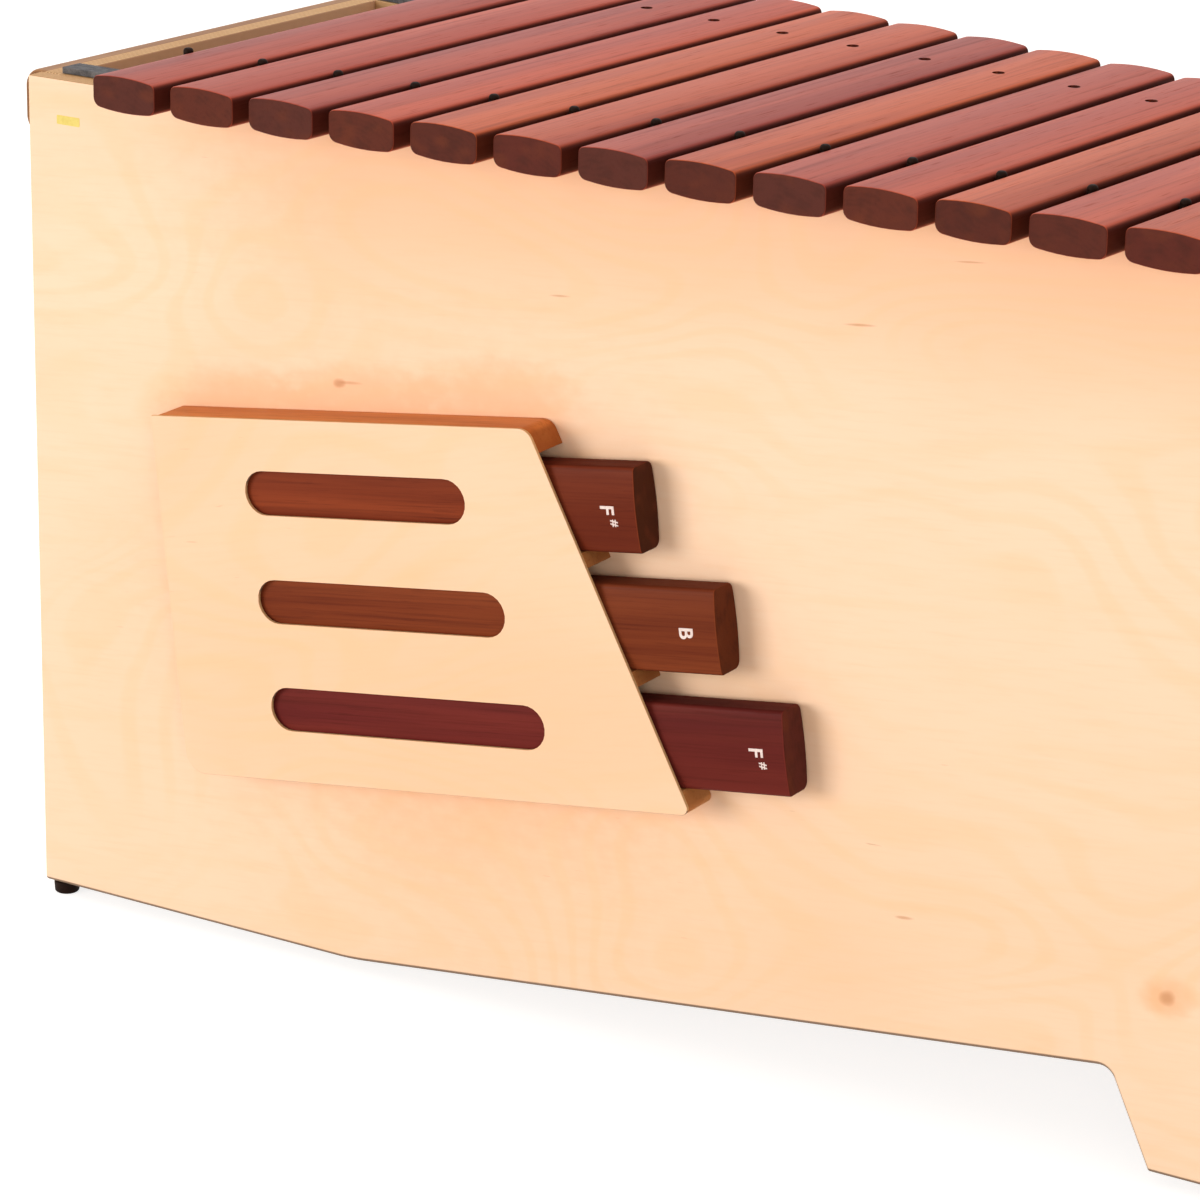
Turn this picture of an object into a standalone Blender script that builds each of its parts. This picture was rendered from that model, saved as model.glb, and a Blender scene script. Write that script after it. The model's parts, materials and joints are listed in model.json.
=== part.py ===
# Bass xylophone: a plywood resonator box with a row of loose tone bars on top and
# a holder for spare bars on its front panel. Metres, +Z up, +X towards the treble,
# +Y away from the player. The origin is on the floor under the middle of the box.

import math

import bmesh
import bpy
from mathutils import Matrix, Vector

# Clearance between two faces that touch on the real instrument
FIT = 0.0003

# Tone bars
BAR_COUNT = 13
BAR_PITCH = 0.064
BAR_WIDTH = 0.056
BAR_EDGE = 0.0206
BAR_CROWN = 0.0023
BASS_BAR_LENGTH = 0.550
TREBLE_BAR_LENGTH = 0.384
BASS_ARCH = 0.012
TREBLE_ARCH = 0.008
ARCH_FROM_NODE = 0.030
CROWN_STEPS = 6
ARCH_STEPS = 10

# Node lines that carry the bars: half their spacing at the first and the last bar
BASS_NODE = 0.1682
TREBLE_NODE = 0.1085

# Pegs between the bars on the near line, pins through the bars on the far line
PEG_DIAMETER = 0.0072
PEG_SEAT = 0.012
PEG_PROUD = 0.0024
PEG_EASE = 0.0012
PEG_SIDES = 12
PIN_DIAMETER = 0.005
PIN_HOLE = 0.009
PIN_SINK = 0.004
STRIP_HOLE_GAP = 0.0006
STRIP_WIDTH = 0.018
STRIP_THICKNESS = 0.0045
RAIL_HEIGHT = 0.035

# Resonator box
PANEL_HEIGHT = 0.6178
PANEL_THICKNESS = 0.015
FACE_TO_PEGS = 0.027
BASS_MARGIN = 0.124
TREBLE_MARGIN = 0.107
ARCH_START = 0.279
ARCH_END = 0.885
ARCH_RISE = 0.0675
ARCH_BEND = 0.250
LEG_SPREAD = 0.0316
LEG_ROUND = 0.012
FLOOR_THICKNESS = 0.012
FLOOR_BASS_HEIGHT = 0.050
FLOOR_TREBLE_HEIGHT = 0.400
PARTITION_THICKNESS = 0.008
PARTITION_AFTER_BARS = (3, 6, 9)

# Rubber feet
FOOT_DIAMETER = 0.0195
FOOT_HEIGHT = 0.0095
FOOT_ALONG = 0.010
FOOT_INSET = 0.0115
FOOT_SIDES = 20

# Carrying grips on the two ends
GRIP_DEPTH = 0.0265
GRIP_HEIGHT = 0.048
GRIP_DROP = 0.002
GRIP_SETBACK = 0.024
GRIP_ROUND = 0.013

# Holder for the spare bars, tilted so that they slide down to the end stop
HOLDER_ALONG = 0.1344
HOLDER_DROP = 0.2228
HOLDER_TILT = math.radians(7.82)
HOLDER_TOP_LENGTH = 0.3155
HOLDER_SLANT = 0.3751
HOLDER_LEAN = 0.011
HOLDER_DEPTH = 0.030
HOLDER_FACE_THICKNESS = 0.003
HOLDER_FACE_LAP = 0.0043
HOLDER_TOP_RAIL = 0.0172
HOLDER_BOTTOM_RAIL = 0.0165
HOLDER_DIVIDER = 0.0103
TOP_ROOM = 0.0086
SPARE_ROOM = 0.0113
STOP_THICKNESS = 0.010
CORNER_TOP = 0.011
CORNER_FOOT = 0.005
CORNER_STOP = 0.016
SLOT_HEIGHT = 0.032
SLOT_START = 0.0717
SLOT_FIRST_MIDDLE = 0.0535
SLOT_PITCH = 0.0791
SLOT_FIRST_END = 0.2581
SLOT_END_STEP = 0.0229
SLOT_STEPS = 12

# Spare bars, from the upper channel to the lower one
SPARE_NAMES = ("spare_bar_f_sharp_high", "spare_bar_b_flat", "spare_bar_f_sharp_low")
SPARE_LENGTHS = (0.384, 0.4415, 0.489)
SPARE_NODES = (0.112, 0.131, 0.143)
SPARE_ARCHES = (0.0085, 0.0100, 0.0110)
SPARE_WIDTH = 0.060
SPARE_EDGE = 0.0235
SPARE_THICKNESS = SPARE_EDGE + 2 * BAR_CROWN

# Heights that follow from the stack of foot, panel, rail, strip and bar
PANEL_BOTTOM = FOOT_HEIGHT + FIT
PANEL_TOP = PANEL_BOTTOM + PANEL_HEIGHT
STRIP_BOTTOM = PANEL_TOP + FIT
BAR_BOTTOM = STRIP_BOTTOM + STRIP_THICKNESS + FIT
BAR_THICKNESS = BAR_EDGE + 2 * BAR_CROWN
BAR_TOP_EDGE = BAR_BOTTOM + BAR_CROWN + BAR_EDGE

# Places along the row of bars
BAR_RUN = BAR_PITCH * (BAR_COUNT - 1)
BOX_LENGTH = BASS_MARGIN + BAR_RUN + BAR_WIDTH + TREBLE_MARGIN
BASS_END = -BOX_LENGTH / 2
TREBLE_END = BOX_LENGTH / 2
FIRST_BAR_X = BASS_END + BASS_MARGIN + BAR_WIDTH / 2

# Plan of the box: both long sides run parallel to their node lines
TAPER = math.atan((BASS_NODE - TREBLE_NODE) / BAR_RUN)
RAIL_WIDTH = 2 * (FACE_TO_PEGS - PANEL_THICKNESS) - 2 * FIT
FRONT = -1
BACK = 1


def clear_scene():
    for item in list(bpy.data.objects):
        bpy.data.objects.remove(item, do_unlink=True)


def make_material(name, color, roughness):
    material = bpy.data.materials.new(name)
    material.use_nodes = True
    shader = material.node_tree.nodes["Principled BSDF"]
    shader.inputs["Base Color"].default_value = (*color, 1.0)
    shader.inputs["Roughness"].default_value = roughness
    shader.inputs["Metallic"].default_value = 0.0
    return material


def node_at(x):
    # Half the spacing of the two node lines at a place along the row
    return BASS_NODE - (x - FIRST_BAR_X) * math.tan(TAPER)


def side_y(side, x, inward):
    # Y on a line parallel to a long side, a distance inward from its outer face
    return side * (node_at(x) + (FACE_TO_PEGS - inward) / math.cos(TAPER))


def side_frame(side):
    # Local frame of a long side: X along it from the bass end, Z up from the floor
    place = Vector((BASS_END, side_y(side, BASS_END, 0), 0))
    return Matrix.Translation(place) @ Matrix.Rotation(-side * TAPER, 4, "Z")


def loft(first_ring, last_ring):
    # Closed body between two rings with the same number of points
    body = bmesh.new()
    first = [body.verts.new(point) for point in first_ring]
    last = [body.verts.new(point) for point in last_ring]
    count = len(first)
    body.faces.new(first)
    body.faces.new(last)
    for i in range(count):
        following = (i + 1) % count
        body.faces.new((first[i], first[following], last[following], last[i]))
    bmesh.ops.recalc_face_normals(body, faces=body.faces)
    return body


def upright(outline, low, high):
    # Prism that stands on a plan outline
    return loft([(x, y, low) for x, y in outline], [(x, y, high) for x, y in outline])


def board(outline, near, far):
    # Board with an outline in X and Z, between two values of Y
    return loft([(x, near, z) for x, z in outline], [(x, far, z) for x, z in outline])


def cylinder(x, y, low, high, diameter, sides):
    turn = 2 * math.pi / sides
    radius = diameter / 2
    ring = [(x + radius * math.cos(i * turn), y + radius * math.sin(i * turn)) for i in range(sides)]
    return upright(ring, low, high)


def rounded(corners, steps=8):
    # Outline with an arc at each corner that has a radius: corners are (x, z, radius)
    points = []
    count = len(corners)
    for i in range(count):
        x, z, radius = corners[i]
        corner = Vector((x, z))
        if radius == 0:
            points.append(tuple(corner))
            continue
        back = (Vector(corners[i - 1][:2]) - corner).normalized()
        ahead = (Vector(corners[(i + 1) % count][:2]) - corner).normalized()
        half = back.angle(ahead) / 2
        middle = corner + (back + ahead).normalized() * (radius / math.sin(half))
        start = corner + back * (radius / math.tan(half)) - middle
        end = corner + ahead * (radius / math.tan(half)) - middle
        for k in range(steps + 1):
            arm = start.lerp(end, k / steps).normalized() * radius
            points.append(tuple(middle + arm))
    return points


def add_part(name, body, material, place=None, parent=None):
    mesh = bpy.data.meshes.new(name)
    body.to_mesh(mesh)
    body.free()
    mesh.materials.append(material)
    item = bpy.data.objects.new(name, mesh)
    bpy.context.scene.collection.objects.link(item)
    if parent is not None:
        item.parent = parent
    if place is not None:
        item.matrix_local = place
    return item


def combine(item, tools, operation):
    # Cuts or adds the tool bodies, given in the item's own coordinates
    tool_mesh = bpy.data.meshes.new("tool")
    joined = bmesh.new()
    for tool in tools:
        piece = bpy.data.meshes.new("piece")
        tool.to_mesh(piece)
        tool.free()
        joined.from_mesh(piece)
        bpy.data.meshes.remove(piece)
    joined.to_mesh(tool_mesh)
    joined.free()
    tool_item = bpy.data.objects.new("tool", tool_mesh)
    bpy.context.scene.collection.objects.link(tool_item)
    tool_item.hide_render = True
    tool_item.display_type = "WIRE"
    bpy.context.view_layer.update()
    tool_item.matrix_world = item.matrix_world
    modifier = item.modifiers.new("combine", "BOOLEAN")
    modifier.operation = operation
    modifier.solver = "EXACT"
    modifier.object = tool_item
    graph = bpy.context.evaluated_depsgraph_get()
    result = bpy.data.meshes.new_from_object(item.evaluated_get(graph))
    item.modifiers.clear()
    item.data = result
    bpy.data.objects.remove(tool_item, do_unlink=True)


def smooth(item, angle=40):
    item.data.shade_smooth()
    item.data.set_sharp_from_angle(angle=math.radians(angle))


def bar_crown(x, width):
    return BAR_CROWN * (1 - (2 * x / width) ** 2)


def bar_section(width, edge):
    # Barrel-shaped section, X across the bar, Z up from its lowest line
    across = [width * (i / CROWN_STEPS - 0.5) for i in range(CROWN_STEPS + 1)]
    under = [(x, BAR_CROWN - bar_crown(x, width)) for x in across]
    over = [(x, BAR_CROWN + edge + bar_crown(x, width)) for x in reversed(across)]
    return under + over


def tuning_arch(width, node, depth):
    # Cutter for the hollow under the bar's middle
    reach = node - ARCH_FROM_NODE
    along = [reach * (2 * i / ARCH_STEPS - 1) for i in range(ARCH_STEPS + 1)]
    outline = [(y, depth * (1 - (y / reach) ** 2)) for y in along]
    outline += [(reach, -BAR_CROWN), (-reach, -BAR_CROWN)]
    return loft([(-width, y, z) for y, z in outline], [(width, y, z) for y, z in outline])


def add_bar(name, width, edge, length, node, arch, material, place, parent=None):
    # Local frame: Y along the bar away from the player, origin under its middle
    section = bar_section(width, edge)
    body = loft([(x, -length / 2, z) for x, z in section], [(x, length / 2, z) for x, z in section])
    bar = add_part(name, body, material, place, parent)
    hole = cylinder(0, node, -BAR_CROWN, edge + 3 * BAR_CROWN, PIN_HOLE, PEG_SIDES)
    combine(bar, [tuning_arch(width, node, arch), hole], "DIFFERENCE")
    smooth(bar)


def add_row_of_bars(material):
    for i in range(BAR_COUNT):
        share = i / (BAR_COUNT - 1)
        x = FIRST_BAR_X + i * BAR_PITCH
        length = BASS_BAR_LENGTH + share * (TREBLE_BAR_LENGTH - BASS_BAR_LENGTH)
        arch = BASS_ARCH + share * (TREBLE_ARCH - BASS_ARCH)
        place = Matrix.Translation((x, 0, BAR_BOTTOM))
        add_bar(f"tone_bar_{i + 1:02d}", BAR_WIDTH, BAR_EDGE, length, node_at(x), arch, material, place)


def panel_outline():
    # Flat at the bass foot, then a rising arch, then the leg at the treble end
    length = BOX_LENGTH / math.cos(TAPER)
    arch_top = PANEL_BOTTOM + ARCH_RISE
    corners = [
        (0, PANEL_BOTTOM, 0),
        (ARCH_START, PANEL_BOTTOM, ARCH_BEND),
        (ARCH_END, arch_top, LEG_ROUND),
        (ARCH_END + LEG_SPREAD, PANEL_BOTTOM, 0),
        (length, PANEL_BOTTOM, 0),
        (length, PANEL_TOP, 0),
        (0, PANEL_TOP, 0),
    ]
    return rounded(corners)


def add_long_panel(name, side, material):
    body = board(panel_outline(), 0, -side * PANEL_THICKNESS)
    return add_part(name, body, material, side_frame(side))


def across_plan(start, end, inset):
    # Plan outline across the box between two places along it, inset from its outer faces
    return [
        (start, side_y(FRONT, start, inset)),
        (end, side_y(FRONT, end, inset)),
        (end, side_y(BACK, end, inset)),
        (start, side_y(BACK, start, inset)),
    ]


def along_plan(side, near, far):
    # Plan outline of a batten along one side, between the two end panels
    start = BASS_END + PANEL_THICKNESS + FIT
    end = TREBLE_END - PANEL_THICKNESS - FIT
    return [
        (start, side_y(side, start, near)),
        (end, side_y(side, end, near)),
        (end, side_y(side, end, far)),
        (start, side_y(side, start, far)),
    ]


def floor_top(x):
    start = BASS_END + PANEL_THICKNESS
    share = (x - start) / (BOX_LENGTH - 2 * PANEL_THICKNESS)
    return FLOOR_BASS_HEIGHT + share * (FLOOR_TREBLE_HEIGHT - FLOOR_BASS_HEIGHT)


def add_box_boards(wood, inner_wood):
    inset = PANEL_THICKNESS + FIT
    ends = (
        ("bass_end_panel", BASS_END, BASS_END + PANEL_THICKNESS),
        ("treble_end_panel", TREBLE_END - PANEL_THICKNESS, TREBLE_END),
    )
    for name, start, end in ends:
        add_part(name, upright(across_plan(start, end, inset), PANEL_BOTTOM, PANEL_TOP), wood)

    plan = across_plan(ends[0][2] + FIT, ends[1][1] - FIT, inset)
    lower = [(x, y, floor_top(x) - FLOOR_THICKNESS) for x, y in plan]
    upper = [(x, y, floor_top(x)) for x, y in plan]
    add_part("resonator_floor", loft(lower, upper), inner_wood)

    for number, count in enumerate(PARTITION_AFTER_BARS, start=1):
        middle = FIRST_BAR_X + (count - 0.5) * BAR_PITCH
        half = PARTITION_THICKNESS / 2
        plan = across_plan(middle - half, middle + half, inset)
        lower = [(x, y, floor_top(x) + FIT) for x, y in plan]
        upper = [(x, y, PANEL_TOP - RAIL_HEIGHT - FIT) for x, y in plan]
        add_part(f"partition_{number}", loft(lower, upper), inner_wood)


def peg_places():
    # One peg in each gap between bars, and one outside each end of the row
    return [FIRST_BAR_X + (i - 0.5) * BAR_PITCH for i in range(BAR_COUNT + 1)]


def pin_places():
    return [FIRST_BAR_X + i * BAR_PITCH for i in range(BAR_COUNT)]


def add_rail(name, side, material):
    body = upright(
        along_plan(side, PANEL_THICKNESS + FIT, PANEL_THICKNESS + FIT + RAIL_WIDTH),
        PANEL_TOP - RAIL_HEIGHT,
        PANEL_TOP,
    )
    return add_part(name, body, material)


def add_rest_strip(name, side, places, diameter, material):
    # Soft strip on the rail, centred on the node line, with a hole for each peg or pin
    outline = along_plan(side, FACE_TO_PEGS - STRIP_WIDTH / 2, FACE_TO_PEGS + STRIP_WIDTH / 2)
    strip = add_part(name, upright(outline, STRIP_BOTTOM, STRIP_BOTTOM + STRIP_THICKNESS), material)
    low = STRIP_BOTTOM - STRIP_THICKNESS
    high = STRIP_BOTTOM + 2 * STRIP_THICKNESS
    size = diameter + 2 * STRIP_HOLE_GAP
    holes = [cylinder(x, side * node_at(x), low, high, size, PEG_SIDES) for x in places]
    combine(strip, holes, "DIFFERENCE")


def add_front_pegs(wood, soft, rubber):
    rail = add_rail("front_peg_rail", FRONT, wood)
    add_rest_strip("front_rest_strip", FRONT, peg_places(), PEG_DIAMETER, soft)
    seat = PANEL_TOP - PEG_SEAT
    above = PANEL_TOP + PEG_SEAT
    hole = PEG_DIAMETER + 2 * FIT
    holes = [cylinder(x, -node_at(x), seat, above, hole, PEG_SIDES) for x in peg_places()]
    combine(rail, holes, "DIFFERENCE")

    height = BAR_TOP_EDGE + PEG_PROUD - seat - FIT
    for number, x in enumerate(peg_places(), start=1):
        body = cylinder(0, 0, 0, height, PEG_DIAMETER, PEG_SIDES)
        rim = [edge for edge in body.edges if all(v.co.z > height - FIT for v in edge.verts)]
        bmesh.ops.bevel(body, geom=rim, offset=PEG_EASE, segments=2, affect="EDGES", profile=0.5)
        place = Matrix.Translation((x, -node_at(x), seat + FIT))
        smooth(add_part(f"peg_{number:02d}", body, rubber, place))


def add_back_pins(wood, soft):
    rail = add_rail("back_pin_rail", BACK, wood)
    add_rest_strip("back_rest_strip", BACK, pin_places(), PIN_DIAMETER, soft)
    low = PANEL_TOP - PEG_SEAT
    high = BAR_BOTTOM + BAR_THICKNESS - PIN_SINK
    pins = [cylinder(x, node_at(x), low, high, PIN_DIAMETER, PEG_SIDES) for x in pin_places()]
    combine(rail, pins, "UNION")


def add_feet(rubber):
    ends = (("bass", BASS_END + FOOT_ALONG), ("treble", TREBLE_END - FOOT_ALONG))
    for side_name, side in (("front", FRONT), ("back", BACK)):
        for end_name, x in ends:
            body = cylinder(0, 0, 0, FOOT_HEIGHT, FOOT_DIAMETER, FOOT_SIDES)
            place = Matrix.Translation((x, side_y(side, x, FOOT_INSET), 0))
            smooth(add_part(f"foot_{side_name}_{end_name}", body, rubber, place))


def add_grip(name, end_x, outward, material):
    # Batten across an end panel, rounded on its outer edges
    half = -side_y(FRONT, end_x, 0) - GRIP_SETBACK
    low = -GRIP_HEIGHT / 2
    high = GRIP_HEIGHT / 2
    corners = [
        (outward * FIT, low, 0),
        (outward * GRIP_DEPTH, low, GRIP_ROUND),
        (outward * GRIP_DEPTH, high, GRIP_ROUND),
        (outward * FIT, high, 0),
    ]
    place = Matrix.Translation((end_x, 0, PANEL_TOP - GRIP_DROP - GRIP_HEIGHT / 2))
    smooth(add_part(name, board(rounded(corners), -half, half), material, place))


def holder_end(down):
    # Slanted right end of the holder at a distance below its top edge
    return HOLDER_TOP_LENGTH + HOLDER_SLANT * down


def holder_start(down):
    # Left end of the holder, leaning out towards the bottom
    return -HOLDER_LEAN * down / holder_height()


def holder_height():
    return channel_floor(len(SPARE_NAMES) - 1) + HOLDER_BOTTOM_RAIL


def channel_floor(channel):
    # Depth below the holder's top edge at which a channel's spare bar lies
    first = HOLDER_TOP_RAIL + TOP_ROOM + SPARE_WIDTH
    return first + channel * (HOLDER_DIVIDER + SPARE_ROOM + SPARE_WIDTH)


def slot_outline(channel):
    # Finger slot with round ends in front of a channel
    middle = SLOT_FIRST_MIDDLE + channel * SLOT_PITCH
    radius = SLOT_HEIGHT / 2
    start = SLOT_START + radius
    end = SLOT_FIRST_END + channel * SLOT_END_STEP - radius
    points = []
    for centre, first in ((end, -90), (start, 90)):
        for k in range(SLOT_STEPS + 1):
            angle = math.radians(first + 180 * k / SLOT_STEPS)
            points.append((centre + radius * math.cos(angle), -middle + radius * math.sin(angle)))
    return points


def holder_band(top, bottom, start_shift):
    # Outline of a rail or divider from the left end to the slanted right end
    return [
        (holder_start(top) + start_shift, -top, 0),
        (holder_end(top), -top, 0),
        (holder_end(bottom), -bottom, 0),
        (holder_start(bottom) + start_shift, -bottom, 0),
    ]


def add_holder(frame, face_wood, wood):
    # Local frame: X along the channels, Z up, Y into the panel, origin at the top left
    height = holder_height()
    front = -HOLDER_DEPTH
    face_corners = [
        (-HOLDER_FACE_LAP, 0, 0),
        (holder_end(0), 0, CORNER_TOP),
        (holder_end(height), -height, CORNER_FOOT),
        (holder_start(height), -height, CORNER_STOP),
    ]
    face_body = board(rounded(face_corners), front - HOLDER_FACE_THICKNESS, front - FIT)
    face = add_part("holder_face", face_body, face_wood, parent=frame)
    past = 2 * HOLDER_FACE_THICKNESS
    slots = [board(slot_outline(channel), front - past, front + past) for channel in range(len(SPARE_NAMES))]
    combine(face, slots, "DIFFERENCE")

    top = holder_band(0, HOLDER_TOP_RAIL, 0)
    top[1] = (*top[1][:2], CORNER_TOP)
    add_part("holder_top_rail", board(rounded(top), front, -FIT), wood, parent=frame)

    bottom = holder_band(height - HOLDER_BOTTOM_RAIL, height, 0)
    bottom[2] = (*bottom[2][:2], CORNER_FOOT)
    bottom[3] = (*bottom[3][:2], CORNER_STOP)
    add_part("holder_bottom_rail", board(rounded(bottom), front, -FIT), wood, parent=frame)

    high = HOLDER_TOP_RAIL + FIT
    low = height - HOLDER_BOTTOM_RAIL - FIT
    stop = [
        (holder_start(high), -high),
        (holder_start(high) + STOP_THICKNESS, -high),
        (holder_start(low) + STOP_THICKNESS, -low),
        (holder_start(low), -low),
    ]
    add_part("holder_end_stop", board(stop, front, -FIT), wood, parent=frame)

    for name, channel in (("upper", 0), ("lower", 1)):
        above = channel_floor(channel)
        band = holder_band(above, above + HOLDER_DIVIDER, STOP_THICKNESS + FIT)
        outline = [(x, z) for x, z, _ in band]
        add_part(f"holder_divider_{name}", board(outline, front, -FIT), wood, parent=frame)


def add_spare_bars(frame, material):
    # Each lies on edge on its channel's floor, playing face out, against the end stop
    turn = Matrix(((0, 1, 0), (0, 0, -1), (-1, 0, 0))).to_4x4()
    behind = (HOLDER_DEPTH - SPARE_THICKNESS) / 2
    for channel, name in enumerate(SPARE_NAMES):
        floor = channel_floor(channel)
        upper_edge = floor - FIT - SPARE_WIDTH
        start = holder_start(upper_edge) + STOP_THICKNESS + FIT
        length = SPARE_LENGTHS[channel]
        node = SPARE_NODES[channel]
        arch = SPARE_ARCHES[channel]
        place = Matrix.Translation((start + length / 2, -behind, -floor + FIT + SPARE_WIDTH / 2)) @ turn
        add_bar(name, SPARE_WIDTH, SPARE_EDGE, length, node, arch, material, place, frame)


def add_holder_frame():
    frame = bpy.data.objects.new("holder_frame", None)
    bpy.context.scene.collection.objects.link(frame)
    corner = Matrix.Translation((HOLDER_ALONG, 0, PANEL_TOP - HOLDER_DROP))
    frame.matrix_world = side_frame(FRONT) @ corner @ Matrix.Rotation(-HOLDER_TILT, 4, "Y")
    bpy.context.view_layer.update()
    return frame


def build():
    clear_scene()
    bar_wood = make_material("bar_wood", (0.20, 0.055, 0.030), 0.40)
    birch = make_material("birch_plywood", (0.86, 0.66, 0.42), 0.50)
    inner_birch = make_material("inner_plywood", (0.78, 0.58, 0.36), 0.60)
    edge_wood = make_material("edge_wood", (0.62, 0.36, 0.16), 0.50)
    rubber = make_material("black_rubber", (0.015, 0.015, 0.015), 0.70)
    felt = make_material("grey_felt", (0.20, 0.20, 0.21), 0.95)

    add_long_panel("front_panel", FRONT, birch)
    add_long_panel("back_panel", BACK, birch)
    add_box_boards(birch, inner_birch)
    add_front_pegs(inner_birch, felt, rubber)
    add_back_pins(inner_birch, felt)
    add_feet(rubber)
    add_grip("bass_grip", BASS_END, -1, edge_wood)
    add_grip("treble_grip", TREBLE_END, 1, edge_wood)
    add_row_of_bars(bar_wood)
    frame = add_holder_frame()
    add_holder(frame, birch, edge_wood)
    add_spare_bars(frame, bar_wood)


build()
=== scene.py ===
# Looks of the bass xylophone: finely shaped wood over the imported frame, in a soft white studio
import json
import math

import bmesh
import bpy
from mathutils import Matrix, Vector


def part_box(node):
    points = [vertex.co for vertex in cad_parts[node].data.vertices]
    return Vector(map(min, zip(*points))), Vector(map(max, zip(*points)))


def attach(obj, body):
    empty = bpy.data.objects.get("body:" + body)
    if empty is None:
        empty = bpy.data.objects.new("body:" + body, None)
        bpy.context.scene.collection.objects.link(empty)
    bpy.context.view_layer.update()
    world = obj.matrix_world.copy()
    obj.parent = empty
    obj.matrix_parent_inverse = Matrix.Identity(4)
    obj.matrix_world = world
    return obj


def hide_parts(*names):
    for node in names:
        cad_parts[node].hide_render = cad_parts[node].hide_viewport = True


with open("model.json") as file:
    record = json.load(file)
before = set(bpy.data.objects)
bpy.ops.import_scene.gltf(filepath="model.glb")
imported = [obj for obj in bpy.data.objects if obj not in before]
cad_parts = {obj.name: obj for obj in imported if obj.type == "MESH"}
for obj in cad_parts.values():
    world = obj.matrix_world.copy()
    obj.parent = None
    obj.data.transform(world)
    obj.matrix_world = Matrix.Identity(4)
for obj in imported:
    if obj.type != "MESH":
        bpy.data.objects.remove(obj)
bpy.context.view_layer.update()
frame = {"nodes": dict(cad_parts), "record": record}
nodes = frame["nodes"]
behaviour = frame["record"]["behaviour"]
bodyOf = {node: body for body, group in behaviour["bodies"].items() for node in group}
scene = bpy.context.scene
print("frame loaded, %d nodes" % len(nodes))


# small helpers for edit mode

def focus(piece):
    bpy.ops.object.select_all(action="DESELECT")
    piece.select_set(True)
    bpy.context.view_layer.objects.active = piece


def openPiece(piece):
    focus(piece)
    bpy.ops.object.mode_set(mode="EDIT")
    bpy.ops.mesh.select_all(action="SELECT")


def closePiece():
    bpy.ops.object.mode_set(mode="OBJECT")


def pick(kind, test):
    # selects the verts, edges or faces of the open piece that pass a test
    bpy.ops.mesh.select_mode(type=kind)
    bpy.ops.mesh.select_all(action="DESELECT")
    shape = bmesh.from_edit_mesh(bpy.context.object.data)
    items = {"VERT": shape.verts, "EDGE": shape.edges, "FACE": shape.faces}[kind]
    for item in items:
        if test(item):
            item.select_set(True)
    shape.select_flush_mode()
    bmesh.update_edit_mesh(bpy.context.object.data)


def slide(x, y, z):
    bpy.ops.transform.translate(value=(x, y, z))


def stretch(value, centre=(0, 0, 0)):
    bpy.ops.transform.resize(value=value, center_override=centre)


def addModifier(piece, kind, settings):
    focus(piece)
    modifier = piece.modifiers.new("step", kind)
    for key, value in settings.items():
        setattr(modifier, key, value)
    bpy.ops.object.modifier_apply(modifier="step")


def smoothShade(piece, angle=35):
    # rounds the shading of the small facets and keeps that of the large faces flat
    focus(piece)
    bpy.ops.object.shade_smooth_by_angle(angle=math.radians(angle))
    addModifier(piece, "WEIGHTED_NORMAL", {"keep_sharp": True})


def settle(piece, place):
    # moves a finished piece to its place and leaves its object at the origin
    focus(piece)
    piece.matrix_world = place
    bpy.ops.object.transform_apply(location=True, rotation=True, scale=True)


def copyPiece(master, name):
    piece = master.copy()
    piece.data = master.data.copy()
    piece.name = name
    scene.collection.objects.link(piece)
    return piece


def finishPiece(piece, finish, body, slot, *stoodFor):
    piece.data.materials.clear()
    piece.data.materials.append(finish)
    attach(piece, body)
    if stoodFor:
        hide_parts(*stoodFor)


# merge distance, and the angles in degrees below which faces are one and above which an edge is an arris
easing = {"merge": 0.0002, "flat": 0.4, "arris": 32}


def easedCopy(node, name, ease, steps=2, before=None):
    # a merged copy of a CAD node with its arrises rounded over, after a first step in edit mode
    piece = bpy.data.objects.new(name, nodes[node].data.copy())
    scene.collection.objects.link(piece)
    focus(piece)
    bpy.ops.mesh.customdata_custom_splitnormals_clear()
    openPiece(piece)
    bpy.ops.mesh.remove_doubles(threshold=easing["merge"])
    bpy.ops.mesh.dissolve_limited(angle_limit=math.radians(easing["flat"]))
    if before:
        before()
    closePiece()
    addModifier(piece, "BEVEL", {"width": ease, "segments": steps, "limit_method": "ANGLE",
                                 "angle_limit": math.radians(easing["arris"]), "use_clamp_overlap": True})
    smoothShade(piece)
    return piece


# directions that the woods and the prints follow

drawAxis = Vector(next(j["axis"] for j in behaviour["joints"] if j["name"] == "draw_out_b_flat")).normalized()
panelAlong = Vector((drawAxis.x, drawAxis.y, 0)).normalized()
panelInward = Vector((-panelAlong.y, panelAlong.x, 0))
holderUp = drawAxis.cross(panelInward)


def axesOf(along, through, up, origin=(0, 0, 0)):
    turn = Matrix((along, through, up)).transposed().to_4x4()
    return Matrix.Translation(Vector(origin)) @ turn


def localBox(node, axes):
    # a node's lowest and highest corners seen along the given axes
    back = axes.inverted()
    points = [back @ vertex.co for vertex in nodes[node].data.vertices]
    low = Vector([min(p[i] for p in points) for i in range(3)])
    high = Vector([max(p[i] for p in points) for i in range(3)])
    return low, high


# shader wires

def tint(red, green, blue):
    # a colour as the eye-dropper gives it, in linear light
    levels = [value / 255 for value in (red, green, blue)]
    return tuple(p / 12.92 if p <= 0.04045 else ((p + 0.055) / 1.055) ** 2.4 for p in levels) + (1.0,)


def socketOf(sockets, key):
    if isinstance(key, int):
        return sockets[key]
    for socket in sockets:
        if socket.identifier == key:
            return socket
    return sockets[key]


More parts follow.
